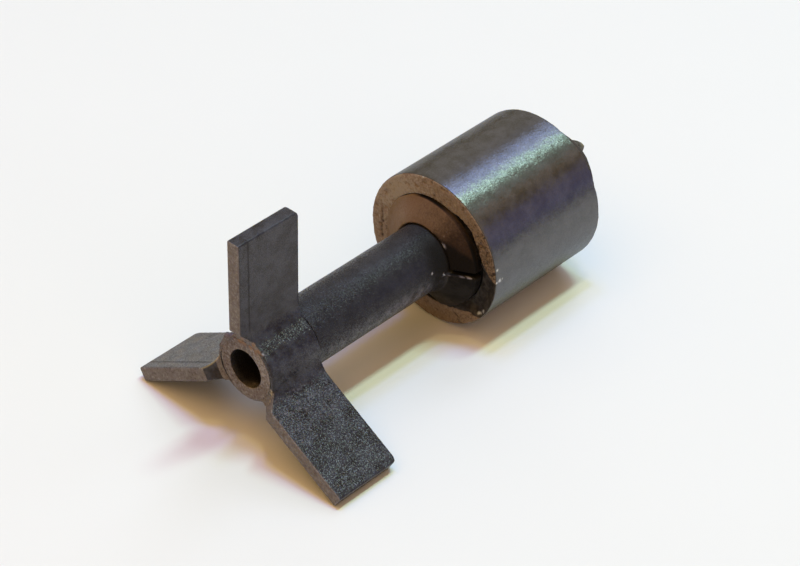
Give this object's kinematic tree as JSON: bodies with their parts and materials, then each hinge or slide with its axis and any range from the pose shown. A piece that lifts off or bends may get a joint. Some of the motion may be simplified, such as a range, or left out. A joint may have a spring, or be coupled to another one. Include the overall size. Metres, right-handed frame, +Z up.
{
  "type": "magnet-driven pump rotor with a paddle impeller",
  "caption": "Pump rotor: straight radial paddles on a long tube, driven by a cylindrical ferrite magnet through a dog with free play.",
  "frame": {"origin": "on the floor under the middle of the rotor, as it lies on its magnet and on two blade tips", "axes": "+X along the shaft from the paddles to the magnet, +Z up"},
  "size_m": [0.0366, 0.0222, 0.0192],
  "materials": {
    "blade_plastic": "black moulded plastic with a fine grain, browned on its front edges",
    "tube_plastic": "black moulded plastic, satin",
    "ferrite": "dark grey ferrite, ground round its side, with a brown deposit on its end faces",
    "core_plastic": "plastic under a brown deposit"
  },
  "bodies": {
    "magnet": {"ferrite_ring": "ferrite", "magnet_core": "core_plastic"},
    "impeller": {"bladed_hub": "blade_plastic", "shaft_tube": "tube_plastic"}
  },
  "joints": [
    {"name": "impeller_free_turn", "type": "hinge", "parent": "magnet", "child": "impeller", "pos_m": [0, 0, 0.00675], "axis": [1, 0, 0], "range_deg": [-4, 69]}
  ]
}
